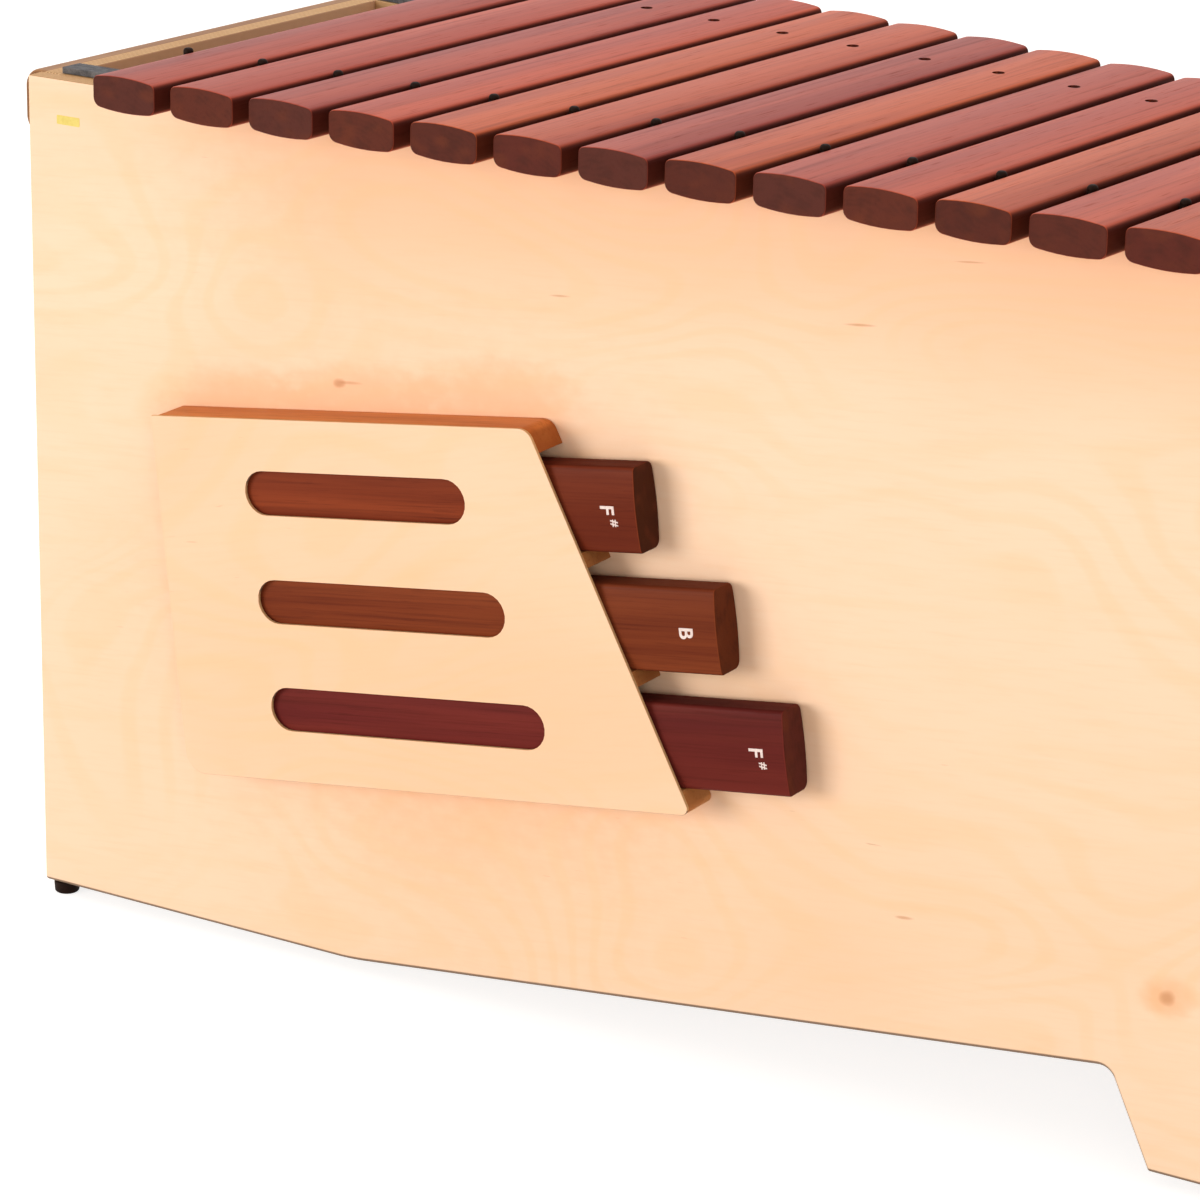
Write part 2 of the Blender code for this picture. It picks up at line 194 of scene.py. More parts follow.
class Wire:
    def __init__(self, tree, socket):
        self.tree = tree
        self.socket = socket

    def node(self, kind, settings=None, sockets=None, out=0):
        made = self.tree.nodes.new(kind)
        for key, value in (settings or {}).items():
            setattr(made, key, value)
        for key, value in (sockets or {}).items():
            target = socketOf(made.inputs, key)
            if isinstance(value, Wire):
                self.tree.links.new(value.socket, target)
            else:
                target.default_value = value
        return Wire(self.tree, socketOf(made.outputs, out)) if made.outputs else None

    def maths(self, operation, first, second=0.0):
        return self.node("ShaderNodeMath", {"operation": operation}, {0: first, 1: second})

    def __add__(self, other):
        return self.maths("ADD", self, other)

    def __radd__(self, other):
        return self.maths("ADD", other, self)

    def __sub__(self, other):
        return self.maths("SUBTRACT", self, other)

    def __rsub__(self, other):
        return self.maths("SUBTRACT", other, self)

    def __mul__(self, other):
        return self.maths("MULTIPLY", self, other)

    def __rmul__(self, other):
        return self.maths("MULTIPLY", other, self)

    def __truediv__(self, other):
        return self.maths("DIVIDE", self, other)

    def __pow__(self, other):
        return self.maths("POWER", self, other)

    def __abs__(self):
        return self.maths("ABSOLUTE", self)


def ramp(wire, low, high):
    # 0 below low, 1 above high, eased between
    return wire.node("ShaderNodeMapRange", {"interpolation_type": "SMOOTHSTEP"},
                     {"Value": wire, "From Min": low, "From Max": high})


def mix(amount, first, second):
    return amount.node("ShaderNodeMix", {"data_type": "RGBA"},
                       {"Factor_Float": amount, "A_Color": first, "B_Color": second}, "Result_Color")


def spread(place, scale):
    return place.node("ShaderNodeVectorMath", {"operation": "MULTIPLY"}, {0: place, 1: scale})


def shift(place, offset):
    return place.node("ShaderNodeVectorMath", {"operation": "ADD"}, {0: place, 1: offset})


def noise(place, scale, detail=2.0, rough=0.5, bent=0.0):
    # value noise with a scale for each direction
    return place.node("ShaderNodeTexNoise", None, {"Vector": spread(place, scale), "Scale": 1.0, "Detail": detail,
                                                    "Roughness": rough, "Distortion": bent})


def parts(place):
    split = place.node("ShaderNodeSeparateXYZ", None, {0: place}).socket.node
    return [Wire(place.tree, split.outputs[i]) for i in range(3)]


def facing(normal, direction):
    return abs(normal.node("ShaderNodeVectorMath", {"operation": "DOT_PRODUCT"}, {0: normal, 1: direction}, "Value"))


def newFinish(name, axes):
    # gives the material, the place along the given axes and the surface direction
    material = bpy.data.materials.new(name)
    material.use_nodes = True
    tree = material.node_tree
    tree.nodes.clear()
    source = tree.nodes.new("ShaderNodeTexCoord")
    place = Wire(tree, source.outputs["Object"])
    place = place.node("ShaderNodeMapping", {"vector_type": "TEXTURE"},
                       {"Vector": place, "Location": tuple(axes.translation), "Rotation": tuple(axes.to_euler())})
    return material, place, Wire(tree, source.outputs["Normal"])


def bump(height, strength, distance):
    return height.node("ShaderNodeBump", None, {"Strength": strength, "Distance": distance, "Height": height})


def closeFinish(place, sockets):
    shader = place.node("ShaderNodeBsdfPrincipled", None, sockets)
    place.node("ShaderNodeOutputMaterial", None, {"Surface": shader})


# birch plywood: pale rotary veneer on the faces, plies on the edges, with painted shade and light

birch = {
    "cream": tint(253, 221, 192),
    "peach": tint(250, 200, 161),
    "figure": tint(250, 201, 148),
    "fibre": tint(243, 196, 150),
    "fleck": tint(196, 138, 84),
    "knot": tint(190, 120, 66),
    "halo": tint(242, 166, 98),
    "plyLight": tint(226, 186, 134),
    "plyDark": tint(172, 122, 76),
    # painted shade for faces that turn downward
    "under": tint(134, 108, 86),
    # thickness of a ply, and how close the rings of the figure lie
    "ply": 0.0013636, "ringCount": 120.0,
    # slope of the grain on the sheets
    "lean": 0.10,
    # painted shade below the bars: the peach sets in between these heights, up to the bars
    "rise": (0.44, 0.62), "paintedBarShade": 0.20,
}


def birchFinish(name, axes, seed, tone, paintedBarShade, plyDepth, paintedShadeAndLight=(), knots=()):
    # axes: along the grain, through the sheet from its face, across the grain
    material, place, normal = newFinish(name, axes)
    along, through, across = parts(place)
    sheet = place.node("ShaderNodeMapping", {"vector_type": "POINT"},
                       {"Vector": place, "Rotation": (0, birch["lean"], 0), "Location": (seed, 0, seed * 0.37),
                        "Scale": (1, 0, 1)})
    wobble = noise(sheet, (60, 1, 90), 2.0) * 0.7

    def spot(middle, up, reach, height):
        # 1 in the middle of an oval that follows the grain, 0 outside it
        aside = along - middle
        near = (aside / reach) ** 2.0 + ((across - up - aside * birch["lean"]) / height) ** 2.0 + wobble
        return 1.0 - ramp(near, 0.25, 1.25)

    cloud = noise(sheet, (2.4, 1, 4.2), 2.0, 0.5, 0.4)
    swell = noise(sheet, (2.9, 1, 5.2), 1.2, 0.40, 0.5)
    rings = swell.maths("SINE", swell * birch["ringCount"])
    rings = ramp(rings + noise(sheet, (26, 1, 70), 2.0) * 0.8, 0.30, 1.35)
    rings = rings * ramp(noise(sheet, (3.4, 1, 5.0)), 0.36, 0.58)
    streak = ramp(noise(sheet, (7, 1, 60), 3.0, 0.6, 0.3), 0.46, 0.72)
    fibre = ramp(noise(sheet, (22, 1, 300), 3.0, 0.6), 0.45, 0.75)
    fleck = ramp(noise(sheet, (34, 1, 420), 2.0, 0.5), 0.70, 0.78) * ramp(noise(sheet, (3, 1, 4)), 0.50, 0.66)
    # peach share: random tone, painted shade below the bars, and the patches of painted shade and light
    shade = cloud * 0.35 + ramp(across, *birch["rise"]) * paintedBarShade + tone
    for change, *oval in paintedShadeAndLight:
        shade = shade + spot(*oval) * change
    colour = mix(ramp(shade, 0.14, 0.50), birch["cream"], birch["peach"])
    colour = mix(rings * 0.20 + streak * 0.16, colour, birch["figure"])
    colour = mix(fibre * 0.16, colour, birch["fibre"])
    colour = mix(fleck * 0.45, colour, birch["fleck"])
    for shadeName, *oval, depth in knots:
        colour = mix(spot(*oval) * depth, colour, birch[shadeName])
    edge = 1.0 - ramp(facing(normal, tuple(axes.to_3x3().col[1])), 0.45, 0.75)
    layer = through.maths("PINGPONG", through / birch["ply"], 1.0)
    rough = noise(place, (260, 60, 260), 2.0, 0.6)
    plies = mix(ramp(layer + rough * 0.3, 0.52, 0.78) * plyDepth, birch["plyLight"], birch["plyDark"])
    colour = mix(edge, colour, plies)
    # painted shade: faces that turn downward, such as the rounded lower arris, are darkened
    downward = 0.0 - parts(normal)[2]
    colour = mix(ramp(downward, 0.10, 0.40), colour, birch["under"])
    closeFinish(place, {
        "Base Color": colour,
        "Roughness": 0.46 + fibre * 0.10 + edge * 0.18,
        "Specular IOR Level": 0.40,
        "Normal": bump(fibre * 0.6 + rings * 0.4 + edge * layer, 0.10, 0.0004),
    })
    return material


# plain inner plywood, a shade browner and duller than the outside

innerWood = {"pale": tint(222, 186, 138), "brown": tint(196, 152, 102), "line": tint(168, 122, 76)}


def innerFinish(name, axes):
    material, place = newFinish(name, axes)[:2]
    cloud = noise(place, (3, 5, 5), 3.0)
    fibre = ramp(noise(place, (16, 300, 300), 3.0, 0.6), 0.45, 0.75)
    colour = mix(ramp(cloud, 0.35, 0.68), innerWood["pale"], innerWood["brown"])
    colour = mix(fibre * 0.5, colour, innerWood["line"])
    closeFinish(place, {"Base Color": colour, "Roughness": 0.60 + fibre * 0.12,
                        "Normal": bump(fibre, 0.15, 0.0004)})
    return material


# lacquered hardwood of the holder's rails, and the duller wood of the grips

railWood = {"gold": tint(214, 130, 62), "brown": tint(192, 106, 44), "line": tint(140, 74, 34)}
dividerWood = {"gold": tint(212, 146, 88), "brown": tint(190, 120, 66), "line": tint(140, 84, 44)}
lowerRailWood = {"gold": tint(226, 166, 106), "brown": tint(206, 140, 82), "line": tint(160, 102, 58)}
gripWood = {"gold": tint(178, 132, 92), "brown": tint(158, 112, 74), "line": tint(116, 78, 50)}


def railFinish(name, axes, tones, seed=0.0):
    material, place, normal = newFinish(name, axes)
    place = shift(place, (seed, seed * 0.3, seed * 0.7))
    cloud = noise(place, (5, 40, 40), 2.0, 0.5, 0.3)
    fibre = ramp(noise(place, (20, 420, 420), 3.0, 0.6), 0.46, 0.76)
    pore = ramp(noise(place, (90, 900, 900), 1.0), 0.64, 0.74)
    ends = ramp(facing(normal, tuple(axes.to_3x3().col[0])), 0.55, 0.85)
    colour = mix(ramp(cloud, 0.34, 0.68), tones["gold"], tones["brown"])
    colour = mix(fibre * 0.40 + pore * 0.25, colour, tones["line"])
    colour = mix(ends * 0.60, colour, tones["line"])
    closeFinish(place, {"Base Color": colour, "Roughness": 0.42 + fibre * 0.10 + ends * 0.12,
                        "Specular IOR Level": 0.12,
                        "Normal": bump(fibre + pore, 0.12, 0.0003)})
    return material


# oiled rosewood of the bars, with darker end grain, painted shade on the sides and a painted highlight on the end
# arrises

# light, deep and end-grain shades of each board
barTones = {
    "rust": (tint(198, 90, 54), tint(172, 70, 44), tint(87, 36, 27)),
    "amber": (tint(206, 97, 55), tint(178, 75, 43), tint(83, 36, 26)),
    "plum": (tint(184, 80, 60), tint(156, 60, 48), tint(84, 40, 32)),
    "brick": (tint(202, 90, 62), tint(176, 70, 50), tint(90, 40, 28)),
    "rose": (tint(208, 98, 70), tint(182, 78, 57), tint(86, 38, 28)),
    "storedRust": (tint(144, 66, 38), tint(114, 47, 28), tint(70, 33, 18)),
    "storedUmber": (tint(141, 69, 38), tint(120, 54, 30), tint(94, 44, 23)),
    "storedWine": (tint(126, 50, 42), tint(98, 34, 34), tint(86, 38, 32)),
}
barGrain = {
    # side: painted shade for the sides of the bars
    "dark": tint(70, 24, 17), "endDark": tint(58, 26, 19), "endWarm": tint(106, 50, 30), "side": tint(52, 9, 2),
    # how close the end grain's rings lie, and their heart below the bar
    "ringCount": 1500.0, "heart": (-0.011, -0.030),
}


def barFinish(name, axes, toneName, seed, look):
    # axes: across the bar, along it, out of its playing face
    material, place, normal = newFinish(name, axes)
    light, deep, endTone = barTones[toneName]
    stick = shift(place, (seed * 0.83, seed * 1.9, seed * 0.41))
    band = noise(stick, (34, 1.5, 34), 2.0, 0.5, 0.5)
    streak = noise(stick, (150, 3.2, 150), 3.0, 0.6, 0.3)
    line = noise(stick, (460, 7, 460), 3.0, 0.65, 0.2)
    pore = ramp(noise(stick, (820, 34, 820), 2.0, 0.5), 0.60, 0.72)
    colour = mix(ramp(band, 0.32, 0.70), light, deep)
    colour = mix(ramp(streak, 0.50, 0.78) * 0.30, colour, barGrain["dark"])
    colour = mix(ramp(line, 0.44, 0.76) * look["figure"], colour, barGrain["dark"])
    colour = mix(pore * 0.24, colour, barGrain["dark"])
    across, along, up = parts(place)
    colour = mix(ramp(along, *look["outerFrom"]) * look["outerShade"], colour, barGrain["dark"])
    heartAcross, heartUp = barGrain["heart"]
    away = ((across - heartAcross) ** 2.0 + (up - heartUp) ** 2.0) ** 0.5
    away = away + noise(stick, (60, 60, 60), 1.0) * 0.012
    ring = away.maths("SINE", away * barGrain["ringCount"])
    mottle = noise(stick, (90, 20, 90), 2.0)
    endGrain = mix(ramp(mottle + ring * 0.05, 0.40, 0.80) * 0.45, endTone, barGrain["endDark"])
    warm = ramp(noise(stick, (44, 12, 70), 1.0), 0.50, 0.74)
    endGrain = mix(warm * 0.45, endGrain, barGrain["endWarm"])
    endGrain = mix(ramp(noise(stick, (700, 700, 700), 1.0), 0.60, 0.70) * 0.25, endGrain, barGrain["dark"])
    # painted shade on the sides of the bars, darkest where they face the gaps
    sides = ramp(facing(normal, tuple(axes.to_3x3().col[0])), *look["paintedSideShadeFrom"])
    colour = mix(sides * look["paintedSideShade"], colour, barGrain["side"])
    turned = facing(normal, tuple(axes.to_3x3().col[1]))
    ends = ramp(turned, 0.50, 0.90)
    # painted highlight on the arris between the long faces and the ends
    rim = ramp(turned, 0.08, 0.35) * (1.0 - ramp(turned, 0.60, 0.90))
    colour = mix(rim * (1.0 - sides) * look["paintedRimHighlight"], colour, light)
    colour = mix(ends, colour, endGrain)
    closeFinish(place, {
        "Base Color": colour,
        "Roughness": 0.36 + pore * 0.14 + ramp(streak, 0.5, 0.8) * 0.06 + ends * 0.20 + sides * 0.30,
        "Specular IOR Level": look["sheen"],
        "Normal": bump(pore + streak * 0.5, 0.10, 0.0003),
    })
    return material


# rubber, felt, steel, print and label

smallParts = {
    "rubber": (tint(24, 11, 6), tint(38, 20, 12)),
    "felt": (tint(70, 70, 74), tint(112, 112, 116)),
    "steel": (tint(176, 174, 170), tint(206, 204, 200)),
    "print": (tint(240, 226, 224), tint(222, 200, 196)),
    "label": (tint(236, 217, 120), tint(224, 202, 98)),
}


def grainyFinish(name, key, scale, roughness, bumpDepth, metal=0.0, sheen=0.5):
    # two close shades in a fine mottle, with a matching surface
    material, place = newFinish(name, Matrix.Identity(4))[:2]
    first, second = smallParts[key]
    coarse = noise(place, (scale * 0.12,) * 3, 3.0)
    fine = noise(place, (scale,) * 3, 3.0, 0.65)
    colour = mix(ramp(coarse * 0.5 + fine * 0.5, 0.36, 0.66), first, second)
    closeFinish(place, {"Base Color": colour, "Roughness": roughness + fine * 0.16, "Metallic": metal,
                        "Specular IOR Level": sheen, "Normal": bump(fine, 0.35, bumpDepth)})
    return material


rubberFinish = grainyFinish("blackRubber", "rubber", 900, 0.48, 0.0002, 0.0, 0.08)
feltFinish = grainyFinish("greyFelt", "felt", 1500, 0.84, 0.0008)
steelFinish = grainyFinish("pinSteel", "steel", 700, 0.24, 0.0001, 1.0)
printFinish = grainyFinish("letterPrint", "print", 600, 0.50, 0.0001)
labelFinish = grainyFinish("labelPaper", "label", 400, 0.46, 0.0001)
print("small finishes ready")


# box: panels with eased edges

boxLook = {
    "panelThickness": 0.015,
    "ease": 0.0010,
    "lowerEase": 0.0040, "lowerSteps": 4,
    # patches of painted shade and light on the front veneer, peachier or paler:
    # change, along from the bass end, height, half length, half height
    "paintedShadeAndLight": (
        # painted shade around the holder
        (0.12, 0.36, 0.30, 0.36, 0.26),
        # painted shade below the holder
        (0.09, 0.37, 0.09, 0.30, 0.12),
        # less of the bars' painted shade in the top left corner
        (-0.15, 0.02, 0.59, 0.30, 0.18),
        # painted warm light from the holder's top rail, in three steps along it
        (0.22, 0.18, 0.414, 0.09, 0.036),
        (0.22, 0.29, 0.434, 0.09, 0.036),
        (0.18, 0.40, 0.456, 0.09, 0.036),
    ),
    # its knots and flecks: shade, along from the bass end, height, half length, half height, strength
    "knots": (
        ("knot", 0.2706, 0.4435, 0.0070, 0.0045, 0.62),
        ("knot", 0.2790, 0.4450, 0.0130, 0.0016, 0.40),
        ("knot", 0.4509, 0.5337, 0.0110, 0.0011, 0.50),
        ("knot", 0.6804, 0.5494, 0.0150, 0.0013, 0.55),
        ("knot", 0.7590, 0.6029, 0.0150, 0.0009, 0.45),
        ("knot", 0.7303, 0.1474, 0.0090, 0.0016, 0.50),
        ("halo", 0.9244, 0.1362, 0.0270, 0.0190, 0.45),
        ("knot", 0.9244, 0.1362, 0.0075, 0.0070, 0.60),
    ),
}

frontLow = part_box("front_panel")[0]
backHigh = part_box("back_panel")[1]
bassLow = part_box("bass_end_panel")[0]
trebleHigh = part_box("treble_end_panel")[1]
frontCorner = Vector((frontLow.x + boxLook["panelThickness"] * panelAlong.y, frontLow.y, 0))
backCorner = Vector((frontCorner.x, backHigh.y, 0))
upward = Vector((0, 0, 1))
frontAxes = axesOf(panelAlong, panelInward, upward, frontCorner)
backAlong = Vector((panelAlong.x, -panelAlong.y, 0))
backAxes = axesOf(-backAlong, upward.cross(-backAlong), upward, backCorner)
bassAxes = axesOf(Vector((0, -1, 0)), Vector((1, 0, 0)), upward, (bassLow.x, 0, 0))
trebleAxes = axesOf(Vector((0, 1, 0)), Vector((-1, 0, 0)), upward, (trebleHigh.x, 0, 0))


def roundLower(inward):
    # the lower arris of the outer face is rounder than the others
    pick("EDGE", lambda edge: any(face.normal.dot(inward) < -0.9 for face in edge.link_faces)
         and any(face.normal.z < -0.1 for face in edge.link_faces))
    bpy.ops.mesh.bevel(offset=boxLook["lowerEase"], segments=boxLook["lowerSteps"], affect="EDGES")


panels = (
    # node, name, axes, grain seed, tone, patches of painted shade and light, knots
    ("front_panel", "frontPanel", frontAxes, 0.0, 0.04, boxLook["paintedShadeAndLight"], boxLook["knots"]),
    ("back_panel", "backPanel", backAxes, 3.1, 0.06, (), ()),
    ("bass_end_panel", "bassEndPanel", bassAxes, 5.7, 0.08, (), ()),
    ("treble_end_panel", "trebleEndPanel", trebleAxes, 8.3, 0.08, (), ()),
)
for node, name, axes, seed, tone, paintedShadeAndLight, knots in panels:
    inward = axes.to_3x3().col[1]
    piece = easedCopy(node, name, boxLook["ease"], before=lambda: roundLower(inward))
    finish = birchFinish(name + "Birch", axes, seed, tone, birch["paintedBarShade"], 1.0, paintedShadeAndLight, knots)
    finishPiece(piece, finish, "box", "birch", node)
print("panels eased")


# inside of the box: the floor, partitions and peg rail keep the shapes of the frame

rowAxes = axesOf(panelAlong, panelInward, upward)
acrossAxes = axesOf(Vector((0, 1, 0)), Vector((-1, 0, 0)), upward)
insideFinish = innerFinish("innerBirchLong", rowAxes)
partitionFinish = innerFinish("innerBirchAcross", acrossAxes)
for node in ("resonator_floor", "front_peg_rail"):
    nodes[node].data.materials.clear()
    nodes[node].data.materials.append(insideFinish)
for number in (1, 2, 3):
    nodes["partition_%d" % number].data.materials.clear()
    nodes["partition_%d" % number].data.materials.append(partitionFinish)


# far rail: wood below, steel pins above

pinLook = {"ease": 0.0007}
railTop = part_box("front_peg_rail")[1].z
pinRail = easedCopy("back_pin_rail", "backPinRail", pinLook["ease"])
finishPiece(pinRail, insideFinish, "box", "inner_birch", "back_pin_rail")
pinRail.data.materials.append(steelFinish)
openPiece(pinRail)
pick("FACE", lambda face: face.calc_center_median().z > railTop + 0.0002)
pinRail.active_material_index = 1
bpy.ops.object.material_slot_assign()
closePiece()


# felt strips under the bars

stripLook = {"ease": 0.0011, "steps": 3}
for node, name in (("front_rest_strip", "frontFelt"), ("back_rest_strip", "backFelt")):
    piece = easedCopy(node, name, stripLook["ease"], stripLook["steps"])
    finishPiece(piece, feltFinish, "box", "felt", node)
print("inside and felt ready")


# rubber pegs: one sleeve with a domed top, copied along the row

pegLook = {
    "sides": 24, "dome": 0.0026, "steps": 5, "shadeAngle": 50,
    # groove: its upper edge below the top, half its height, and its width as a share of the sleeve's
    "groove": 0.0035, "grooveHalf": 0.0006, "grooveShare": 0.90,
}
pegLow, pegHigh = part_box("peg_01")
pegSize = pegHigh - pegLow
bpy.ops.object.select_all(action="DESELECT")
bpy.ops.mesh.primitive_cylinder_add(vertices=pegLook["sides"], radius=pegSize.x / 2, depth=pegSize.z,
                                    location=(0, 0, 0))
pegMaster = bpy.context.object
openPiece(pegMaster)
pick("EDGE", lambda edge: all(v.co.z > pegSize.z / 2 - 0.0001 for v in edge.verts))
bpy.ops.mesh.bevel(offset=pegLook["dome"], segments=pegLook["steps"], affect="EDGES")
grooveTop = pegSize.z / 2 - pegLook["groove"]
for step in range(3):
    bpy.ops.mesh.select_all(action="SELECT")
    bpy.ops.mesh.bisect(plane_co=(0, 0, grooveTop - step * pegLook["grooveHalf"]), plane_no=(0, 0, 1))
middle = grooveTop - pegLook["grooveHalf"]
pick("VERT", lambda vert: abs(vert.co.z - middle) < 0.0001)
stretch((pegLook["grooveShare"], pegLook["grooveShare"], 1), (0, 0, middle))
closePiece()
smoothShade(pegMaster, pegLook["shadeAngle"])
for number in range(1, 15):
    node = "peg_%02d" % number
    low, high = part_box(node)
    piece = copyPiece(pegMaster, "peg%02d" % number)
    settle(piece, Matrix.Translation((low + high) / 2))
    finishPiece(piece, rubberFinish, "box", "rubber", node)
bpy.data.objects.remove(pegMaster)


# rubber feet: a rounded disc with a screw sunk in its underside

footLook = {
    "sides": 40, "taper": 0.94, "rim": 0.0018, "rimFrom": 0.84, "rimSteps": 4, "shadeAngle": 50,
    # screw: radius of its hole as a share of the foot's, depth of the hole, gap around the head and its height
    "screwShare": 0.45, "sink": 0.0030, "screwGap": 0.0008, "screwHead": 0.0012,
}
footLow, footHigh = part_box("foot_front_bass")
footSize = footHigh - footLow
footRadius = footSize.x / 2
bpy.ops.object.select_all(action="DESELECT")
bpy.ops.mesh.primitive_cylinder_add(vertices=footLook["sides"], radius=footRadius, depth=footSize.z,
                                    location=(0, 0, 0))
footMaster = bpy.context.object
openPiece(footMaster)
pick("FACE", lambda face: face.normal.z < -0.9)
stretch((footLook["taper"], footLook["taper"], 1), (0, 0, -footSize.z / 2))
bpy.ops.mesh.inset(thickness=footRadius * (footLook["taper"] - footLook["screwShare"]))
bpy.ops.mesh.extrude_region_move(TRANSFORM_OT_translate={"value": (0, 0, footLook["sink"])})
bpy.ops.mesh.inset(thickness=footLook["screwGap"])
bpy.ops.mesh.extrude_region_move(TRANSFORM_OT_translate={"value": (0, 0, -footLook["screwHead"])})
pick("EDGE", lambda edge: all(math.hypot(v.co.x, v.co.y) > footRadius * footLook["rimFrom"] for v in edge.verts)
     and abs(edge.verts[0].co.z - edge.verts[1].co.z) < 0.0001)
bpy.ops.mesh.bevel(offset=footLook["rim"], segments=footLook["rimSteps"], affect="EDGES")
closePiece()
smoothShade(footMaster, footLook["shadeAngle"])
for side in ("front", "back"):
    for end in ("bass", "treble"):
        node = "foot_%s_%s" % (side, end)
        low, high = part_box(node)
        piece = copyPiece(footMaster, side + end.capitalize() + "Foot")
        settle(piece, Matrix.Translation((low + high) / 2))
        finishPiece(piece, rubberFinish, "box", "rubber", node)
bpy.data.objects.remove(footMaster)
print("pegs and feet ready")


# grips across both ends

gripLook = {"ease": 0.0040, "steps": 4}
for node, name, seed in (("bass_grip", "bassGrip", 0.0), ("treble_grip", "trebleGrip", 2.3)):
    piece = easedCopy(node, name, gripLook["ease"], gripLook["steps"])
    finishPiece(piece, railFinish(name + "Wood", acrossAxes, gripWood, seed), "box", "edge_wood", node)


# holder for the spare bars

holderLook = {
    "faceEase": 0.0008, "railEase": 0.0009, "railSeedStep": 1.7,
    # face board: grain seed, tone, and how strong the plies show on its edges
    "faceSeed": 12.4, "faceTone": 0.15, "facePlies": 0.25,
}
holderTurn = axesOf(drawAxis, panelInward, holderUp)
faceLow, faceHigh = localBox("holder_face", holderTurn)
holderAxes = Matrix.Translation(holderTurn.to_3x3() @ Vector((faceLow.x, faceLow.y, faceHigh.z))) @ holderTurn
face = easedCopy("holder_face", "holderFace", holderLook["faceEase"])
finish = birchFinish("holderFaceBirch", holderAxes, holderLook["faceSeed"], holderLook["faceTone"], 0.0,
                     holderLook["facePlies"])
finishPiece(face, finish, "box", "birch", "holder_face")
rails = (
    ("holder_top_rail", "holderTopRail", railWood),
    ("holder_divider_upper", "holderUpperDivider", dividerWood),
    ("holder_divider_lower", "holderLowerDivider", dividerWood),
    ("holder_bottom_rail", "holderBottomRail", lowerRailWood),
    ("holder_end_stop", "holderEndStop", dividerWood),
)
for number, (node, name, tones) in enumerate(rails):
    piece = easedCopy(node, name, holderLook["railEase"])
    finish = railFinish(name + "Wood", holderAxes, tones, number * holderLook["railSeedStep"])
    finishPiece(piece, finish, "box", "edge_wood", node)
print("grips and holder ready")


# bars: crowned above and below, hollowed under the middle, bored at the far node

barLook = {
    # the rows across are wider apart than the roundings
    "across": 8, "lengthways": 40, "crown": 0.0023, "archFromNode": 0.030,
    "topEase": 0.0040, "topSteps": 4, "footEase": 0.0056, "footSteps": 5, "endEase": 0.0012, "endSteps": 3,
    "hole": 0.009, "holeSides": 32,
    # distance of the node lines from the middle, and depth of the hollow, at both ends of the row
    "bassNode": 0.1682, "trebleNode": 0.1085, "bassArch": 0.012, "trebleArch": 0.008,
    # how strong the grain lines, the gloss and the painted highlight on the arrises of the ends are
    "figure": 0.20, "sheen": 0.10, "paintedRimHighlight": 0.22,
    # painted shade on the sides, where the bars face the gaps: how dark, and the turns of the surface between which
    # it sets in
    "paintedSideShade": 0.92, "paintedSideShadeFrom": (0.46, 0.95),
    # darker outer end: how dark, and the distances from the middle between which it sets in
    "outerShade": 0.0, "outerFrom": (0.0, 0.1),
    "seedStep": 1.37,
    "tones": ("plum", "brick", "plum", "brick", "amber", "rust", "plum",
              "amber", "plum", "brick", "amber", "rose", "rust"),
}


def makeBar(name, size, node, arch, look):
    # stands on its lowest line, X across, Y away from the player
    width, length, thick = size
    crown = barLook["crown"]
    edge = thick - 2 * crown
    half = width / 2
    bpy.ops.object.select_all(action="DESELECT")
    bpy.ops.mesh.primitive_grid_add(x_subdivisions=barLook["across"], y_subdivisions=barLook["lengthways"], size=1,
                                    location=(0, 0, 0))
    bar = bpy.context.object
    bar.name = name
    openPiece(bar)
    stretch((width, length, 1))
    slide(0, 0, crown)
    bpy.ops.mesh.extrude_region_move(TRANSFORM_OT_translate={"value": (0, 0, edge)})
    bpy.ops.mesh.select_all(action="SELECT")
    bpy.ops.mesh.normals_make_consistent(inside=False)
    # rows of the crown, from the middle out
    for row in range(barLook["across"] // 2):
        x = width * row / barLook["across"]
        rise = crown * (1 - (x / half) ** 2)
        pick("VERT", lambda v: abs(abs(v.co.x) - x) < 0.0002 and v.co.z > thick / 2)
        slide(0, 0, rise)
        pick("VERT", lambda v: abs(abs(v.co.x) - x) < 0.0002 and v.co.z < thick / 2)
        slide(0, 0, -rise)
    # hollow under the middle
    reach = node - barLook["archFromNode"]
    for row in range(barLook["lengthways"] + 1):
        y = length * (row / barLook["lengthways"] - 0.5)
        if abs(y) >= reach:
            continue
        cut = arch * (1 - (y / reach) ** 2)
        pick("VERT", lambda v: abs(v.co.y - y) < 0.0002 and v.co.z < min(cut, thick / 2))
        stretch((1, 1, 0), (0, y, cut))
    # long arrises, then the arrises of both ends
    for low, high, ease, steps in ((thick / 2, thick, look["topEase"], barLook["topSteps"]),
                                   (0, thick / 2, look["footEase"], barLook["footSteps"])):
        pick("EDGE", lambda e: all(abs(abs(v.co.x) - half) < 0.0001 and low < v.co.z < high for v in e.verts)
             and abs(e.verts[0].co.y - e.verts[1].co.y) > 0.001)
        bpy.ops.mesh.bevel(offset=ease, segments=steps, affect="EDGES")
    pick("EDGE", lambda e: all(abs(abs(v.co.y) - length / 2) < 0.0001 for v in e.verts)
         and any(abs(f.normal.y) < 0.5 for f in e.link_faces))
    bpy.ops.mesh.bevel(offset=barLook["endEase"], segments=barLook["endSteps"], affect="EDGES")
    closePiece()
    bpy.ops.object.select_all(action="DESELECT")
    bpy.ops.mesh.primitive_cylinder_add(vertices=barLook["holeSides"], radius=barLook["hole"] / 2, depth=thick * 3,
                                        location=(0, node, thick / 2))
    drill = bpy.context.object
    addModifier(bar, "BOOLEAN", {"operation": "DIFFERENCE", "solver": "EXACT", "object": drill})
    bpy.data.objects.remove(drill)
    smoothShade(bar)
    return bar


